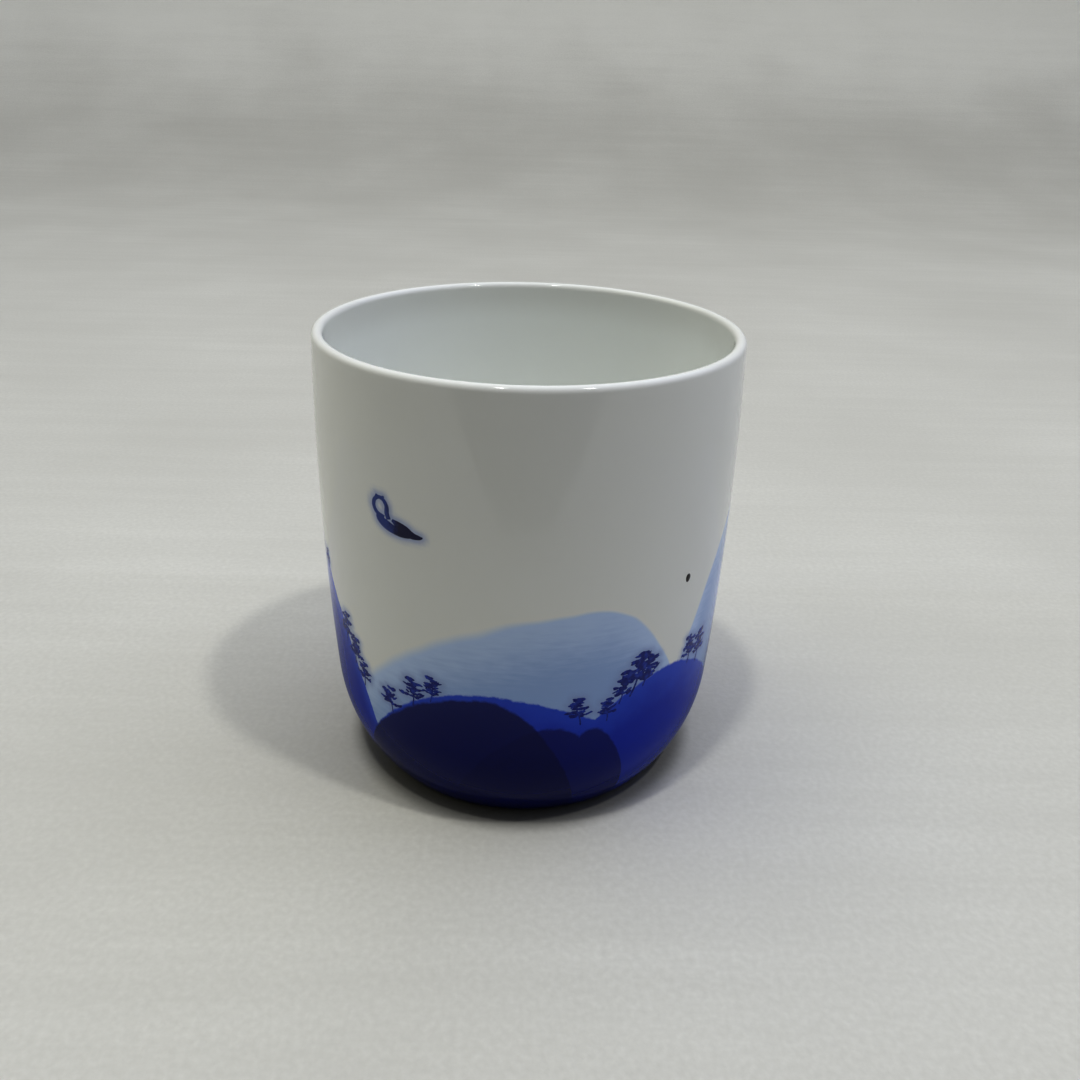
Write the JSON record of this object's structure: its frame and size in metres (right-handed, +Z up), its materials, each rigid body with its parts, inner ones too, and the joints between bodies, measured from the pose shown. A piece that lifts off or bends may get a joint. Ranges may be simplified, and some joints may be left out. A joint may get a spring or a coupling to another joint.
{
  "type": "teacup",
  "caption": "Handle-less porcelain teacup with straight sides, a rounded heel, a low foot ring and a blue landscape painted under clear glaze.",
  "frame": {"origin": "centre of the circle that the foot ring rests on", "axes": "+Z up along the cup's axis of turning; the painted front faces -Y"},
  "size_m": [0.0748, 0.0748, 0.082],
  "materials": {
    "white_porcelain": "white porcelain body, slightly grey, fully covered by glaze except at the foot",
    "bare_porcelain": "bare fired porcelain, matt and very slightly rough, wiped clean of glaze",
    "clear_glaze": "clear high-gloss glaze over white porcelain and blue painting",
    "bowl_glaze": "clear high-gloss glaze with a faint cool tint where it pools",
    "pale_blue_wash": "thin diluted cobalt wash with a soft edge, under the glaze",
    "cobalt_blue": "deep cobalt blue under the glaze",
    "dark_cobalt": "two coats of cobalt, nearly navy, under the glaze",
    "brush_blue": "brushed cobalt lines under the glaze",
    "iron_brown": "dark iron spot under the glaze"
  },
  "bodies": {
    "root": {"porcelain_body": "white_porcelain", "foot_ring": "bare_porcelain", "outer_glaze": "clear_glaze", "inner_glaze": "bowl_glaze", "well_glaze": "clear_glaze", "far_hills": "pale_blue_wash", "near_hills": "cobalt_blue", "foreground_hills": "dark_cobalt", "pine_trees": "brush_blue", "bird_mark": "brush_blue", "iron_speck": "iron_brown"}
  },
  "joints": []
}
